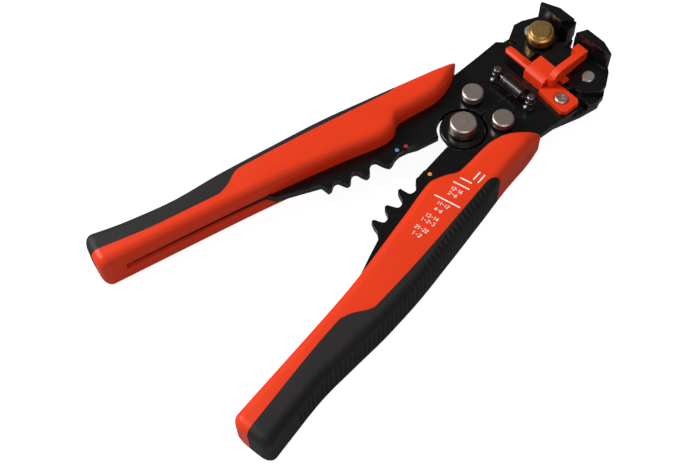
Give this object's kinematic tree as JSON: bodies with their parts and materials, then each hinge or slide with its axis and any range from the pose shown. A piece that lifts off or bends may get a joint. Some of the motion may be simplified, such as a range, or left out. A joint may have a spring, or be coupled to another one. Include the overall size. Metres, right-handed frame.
{
  "type": "wire stripper",
  "caption": "Self-adjusting wire stripper with two handles, clamping jaws, adjusting knob, sliding length stop, wire cutter and crimping nests.",
  "frame": {"origin": "centre of the footprint on the resting plane, the backs of the handles", "axes": "+X to the right, +Y from the handles towards the jaws, +Z out of the front face"},
  "size_m": [0.1074, 0.214, 0.0245],
  "materials": {
    "black_steel": "glossy black oxide lacquer",
    "hard_steel": "satin blackened tool steel",
    "orange_plastic": "semi-gloss moulded nylon",
    "black_grip": "matt soft-touch rubber",
    "nickel": "satin nickel plating",
    "dark_pin": "polished dark steel",
    "spring_steel": "black spring wire",
    "brass": "worn brass"
  },
  "bodies": {
    "right_head": {"right_frame": "black_steel", "right_lower_jaw": "black_steel", "right_lower_blades": "hard_steel", "main_rivet": "nickel", "main_washer": "black_steel", "pivot_spacer": "black_steel", "right_link_rivet": "nickel", "right_spring_post": "dark_pin", "return_spring": "spring_steel", "right_jaw_pin": "nickel", "right_jaw_spring": "spring_steel", "right_post_collar": "black_steel"},
    "left_head": {"left_frame": "black_steel", "left_lower_jaw": "black_steel", "left_lower_pads": "hard_steel", "left_link_rivet": "nickel", "left_spring_post": "dark_pin", "left_jaw_pin": "nickel", "left_jaw_spring": "spring_steel", "left_post_collar": "black_steel"},
    "right_handle": {"right_plate": "black_steel", "right_cover": "orange_plastic", "right_grip": "black_grip", "right_jaw_cam": "black_steel", "stop_guide": "orange_plastic", "stop_screw": "nickel"},
    "left_handle": {"left_plate": "black_steel", "left_cover": "orange_plastic", "left_grip": "black_grip", "left_jaw_cam": "black_steel"},
    "right_upper_jaw": {"right_upper_jaw": "black_steel", "right_upper_blades": "hard_steel", "right_jaw_rivet": "nickel"},
    "left_upper_jaw": {"left_upper_jaw": "black_steel", "left_upper_pads": "hard_steel", "left_jaw_rivet": "nickel", "adjusting_screw": "brass"},
    "stop_slider": {"stop_slider": "orange_plastic"},
    "adjusting_knob": {"adjusting_knob": "brass"}
  },
  "joints": [
    {"name": "head_spread", "type": "hinge", "parent": "right_head", "child": "left_head", "pos_m": [0, 0.04, 0.0095], "axis": [0, 0, 1], "range_deg": [0, 13], "stiffness_Nm_per_rad": 0.6, "deforming": ["return_spring"]},
    {"name": "right_handle_pivot", "type": "hinge", "parent": "right_head", "child": "right_handle", "pos_m": [0.0087, 0.0537, 0.0095], "axis": [0, 0, -1], "range_deg": [0, 3.5]},
    {"name": "left_handle_pivot", "type": "hinge", "parent": "left_head", "child": "left_handle", "pos_m": [-0.0087, 0.0537, 0.0095], "axis": [0, 0, 1], "range_deg": [0, 3.5]},
    {"name": "right_jaw_close", "type": "hinge", "parent": "right_head", "child": "right_upper_jaw", "pos_m": [0.0105, 0.0904, 0.0099], "axis": [-1, 0, 0], "range_deg": [0, 9]},
    {"name": "left_jaw_close", "type": "hinge", "parent": "left_head", "child": "left_upper_jaw", "pos_m": [-0.0105, 0.0904, 0.0099], "axis": [-1, 0, 0], "range_deg": [0, 9]},
    {"name": "length_stop_slide", "type": "slide", "parent": "right_handle", "child": "stop_slider", "axis": [-1, 0, 0], "range_m": [0, 0.005]},
    {"name": "knob_turn", "type": "hinge", "parent": "left_upper_jaw", "child": "adjusting_knob", "pos_m": [-0.0105, 0.095, 0.014], "axis": [0, -0.165, 0.9863], "range_deg": [-180, 180]}
  ],
  "couplings": [
    {"joint": "left_handle_pivot", "follows": "right_handle_pivot", "ratio": 1},
    {"joint": "right_jaw_close", "follows": "right_handle_pivot", "ratio": 2.5714},
    {"joint": "left_jaw_close", "follows": "right_handle_pivot", "ratio": 2.5714}
  ]
}
